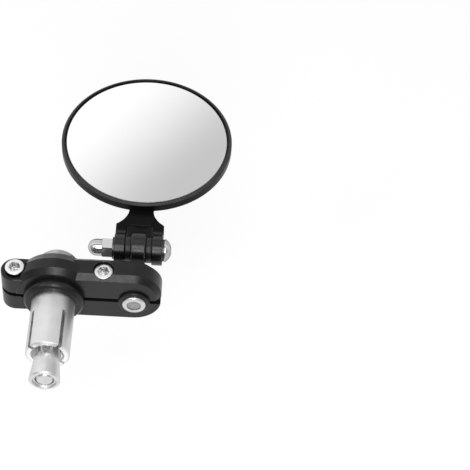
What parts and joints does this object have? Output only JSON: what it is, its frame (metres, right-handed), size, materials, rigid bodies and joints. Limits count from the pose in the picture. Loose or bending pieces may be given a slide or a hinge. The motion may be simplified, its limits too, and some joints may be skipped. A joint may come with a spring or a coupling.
{
  "type": "motorcycle bar end mirror",
  "caption": "Round convex mirror on a folding stem, held by a split clamp arm on a slotted expanding insert that fits the open end of a tubular handlebar.",
  "frame": {"origin": "on the insert's axis, at the flange face that meets the end of the handlebar", "axes": "-Y along the insert into the handlebar, +X along the clamp arm, +Z out of the mirror glass"},
  "size_m": [0.0953, 0.1669, 0.0327],
  "materials": {
    "black_metal": "satin black coating",
    "gloss_black_metal": "gloss black coating",
    "zinc_steel": "bright zinc",
    "chrome": "polished",
    "mirror": "silvered glass",
    "tape": "foam tape",
    "black_nylon": "moulded"
  },
  "bodies": {
    "bar_insert": {"flanged_bush": "black_metal", "expander_tube": "zinc_steel", "bolt_washer": "zinc_steel"},
    "expander_bolt": {"expander_bolt": "zinc_steel"},
    "expander_cone": {"expander_cone": "zinc_steel"},
    "clamp_arm": {"arm_upper_half": "black_metal", "arm_lower_half": "black_metal", "clamp_screw_lug": "zinc_steel", "clamp_screw_middle": "zinc_steel"},
    "swivel": {"swivel_shaft": "gloss_black_metal", "swivel_collar": "black_metal", "swivel_screw": "zinc_steel"},
    "mirror_head": {"mirror_housing": "gloss_black_metal", "mirror_glass": "mirror", "glass_tape": "tape", "hinge_bolt": "zinc_steel", "dome_nut": "chrome", "hinge_washer_left": "zinc_steel", "hinge_washer_right": "zinc_steel", "hinge_spacer_left": "black_nylon", "hinge_spacer_right": "black_nylon"}
  },
  "joints": [
    {"name": "arm_turn", "type": "hinge", "parent": "bar_insert", "child": "clamp_arm", "pos_m": [0, 0.0097, 0], "axis": [0, 1, 0], "continuous": true},
    {"name": "swivel_turn", "type": "hinge", "parent": "clamp_arm", "child": "swivel", "pos_m": [0.034, 0.0097, 0], "axis": [0, 1, 0], "continuous": true},
    {"name": "mirror_tilt", "type": "hinge", "parent": "swivel", "child": "mirror_head", "pos_m": [0.034, 0.03228, 0], "axis": [1, 0, 0], "range_deg": [-90, 90]},
    {"name": "expander_bolt_turn", "type": "hinge", "parent": "bar_insert", "child": "expander_bolt", "pos_m": [0, 0.02, 0], "axis": [0, -1, 0], "range_deg": [0, 1728]},
    {"name": "cone_draw", "type": "slide", "parent": "bar_insert", "child": "expander_cone", "axis": [0, 1, 0], "range_m": [0, 0.006]}
  ],
  "couplings": [
    {"joint": "cone_draw", "follows": "expander_bolt_turn", "m_per_rad": 0.00019894}
  ]
}
